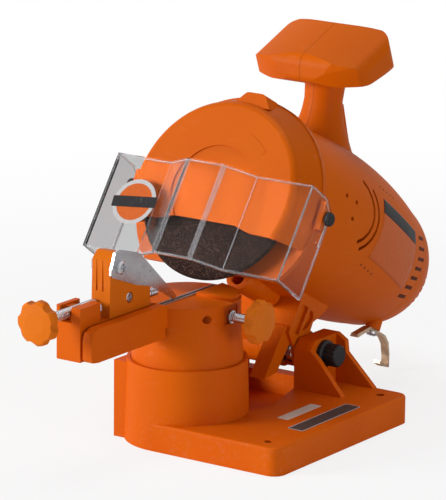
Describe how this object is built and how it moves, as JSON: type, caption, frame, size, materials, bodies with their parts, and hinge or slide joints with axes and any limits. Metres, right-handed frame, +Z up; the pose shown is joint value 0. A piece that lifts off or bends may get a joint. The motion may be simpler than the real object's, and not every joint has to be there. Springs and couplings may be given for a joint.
{
  "type": "chain sharpener",
  "caption": "Bench-mounted electric chain sharpener: a tilting orange motor head with a guarded grinding disc and clear shield, over a swivelling chain vise.",
  "frame": {"origin": "midway between the two bench holes, on the underside of the base", "axes": "+X to the right, away from the side web of the base; +Y from the vise back to the motor; +Z up from the bench"},
  "size_m": [0.1686, 0.3792, 0.2328],
  "materials": {
    "orange_plastic": "moulded satin",
    "knob_orange": "moulded satin",
    "black_plastic": "moulded matte",
    "bright_steel": "zinc plated",
    "chrome": "bright plated",
    "abrasive": "bonded grit",
    "clear_plastic": "clear moulded",
    "core_steel": "laminated",
    "copper": "enamelled wire",
    "carbon": "pressed carbon"
  },
  "bodies": {
    "frame": {"base": "orange_plastic", "pivot_bolt": "bright_steel", "pivot_washers": "bright_steel", "turntable_bolt": "bright_steel", "turntable_washer": "bright_steel"},
    "pivot_knob": {"pivot_knob": "black_plastic"},
    "lock_knob": {"turntable_lock_knob": "knob_orange"},
    "vise": {"turntable": "orange_plastic", "fixed_jaw": "orange_plastic", "jaw_screws": "bright_steel", "fixed_jaw_plate": "bright_steel", "guide_pins": "bright_steel", "stop_pin": "chrome"},
    "jaw": {"movable_jaw": "orange_plastic", "movable_jaw_plate": "bright_steel"},
    "clamp": {"clamp_screw": "chrome", "clamp_knob": "knob_orange"},
    "chain_stop": {"stop_block": "knob_orange", "stop_block_screw": "chrome", "pawl_pin": "chrome", "pawl_nut": "chrome", "pawl_spring": "chrome"},
    "stop_drive": {"stop_screw": "chrome", "stop_knob": "knob_orange"},
    "pawl": {"stop_pawl": "chrome"},
    "head": {"left_housing": "orange_plastic", "right_housing": "orange_plastic", "housing_screws": "bright_steel", "disc_guard": "orange_plastic", "guard_back": "orange_plastic", "guard_screws": "bright_steel", "shield_screws": "black_plastic", "motor_field": "core_steel", "field_coils": "copper", "front_bearing": "bright_steel", "rear_bearing": "bright_steel", "brush_holders": "black_plastic", "carbon_brushes": "carbon", "power_switch": "black_plastic", "cord_gland": "black_plastic", "chain_hook": "chrome", "hook_screw": "bright_steel", "depth_screw": "bright_steel", "head_spring": "chrome"},
    "rotor": {"motor_shaft": "bright_steel", "armature_core": "core_steel", "commutator": "copper", "cooling_fan": "black_plastic", "inner_flange": "bright_steel", "grinding_disc": "abrasive", "flange_nut": "bright_steel"},
    "shield": {"shield": "clear_plastic"},
    "button": {"switch_button": "black_plastic"}
  },
  "joints": [
    {"name": "head_tilt", "type": "hinge", "parent": "frame", "child": "head", "pos_m": [-0.079, 0.056, 0.039], "axis": [1, 0, 0], "range_deg": [0, 4.2], "stiffness_Nm_per_rad": 2},
    {"name": "pivot_turn", "type": "hinge", "parent": "frame", "child": "pivot_knob", "pos_m": [-0.033, 0.056, 0.039], "axis": [1, 0, 0], "range_deg": [-90, 90]},
    {"name": "lock_turn", "type": "hinge", "parent": "frame", "child": "lock_knob", "pos_m": [-0.079, -0.034, 0.01], "axis": [0, 0, 1], "range_deg": [-90, 90]},
    {"name": "vise_swivel", "type": "hinge", "parent": "frame", "child": "vise", "pos_m": [-0.079, -0.034, 0.06], "axis": [0, 0, 1], "range_deg": [-35, 35]},
    {"name": "jaw_slide", "type": "slide", "parent": "vise", "child": "jaw", "axis": [1, 0, 0], "range_m": [-0.0011, 0.0012]},
    {"name": "clamp_turn", "type": "hinge", "parent": "jaw", "child": "clamp", "pos_m": [-0.029, -0.034, 0.081], "axis": [1, 0, 0], "range_deg": [-350, 380]},
    {"name": "stop_slide", "type": "slide", "parent": "vise", "child": "chain_stop", "axis": [0, 1, 0], "range_m": [-0.0015, 0.006]},
    {"name": "stop_turn", "type": "hinge", "parent": "chain_stop", "child": "stop_drive", "pos_m": [-0.0907, -0.169, 0.0993], "axis": [0, 1, 0], "range_deg": [-465, 1762]},
    {"name": "pawl_lift", "type": "hinge", "parent": "chain_stop", "child": "pawl", "pos_m": [-0.079, -0.1049, 0.1216], "axis": [1, 0, 0], "range_deg": [0, 12], "stiffness_Nm_per_rad": 0.05},
    {"name": "disc_spin", "type": "hinge", "parent": "head", "child": "rotor", "pos_m": [-0.079, 0.05232, 0.11729], "axis": [0, -0.8829, 0.4695], "continuous": true},
    {"name": "shield_slide", "type": "slide", "parent": "head", "child": "shield", "axis": [0, 0.5821, 0.8131], "range_m": [0, 0.016]},
    {"name": "switch_press", "type": "slide", "parent": "head", "child": "button", "axis": [0, -0.9848, 0.1736], "range_m": [0, 0.0015], "stiffness_N_per_m": 300}
  ],
  "couplings": [
    {"joint": "clamp_turn", "follows": "jaw_slide", "rad_per_m": 5026.5},
    {"joint": "stop_turn", "follows": "stop_slide", "rad_per_m": 5026.5}
  ]
}
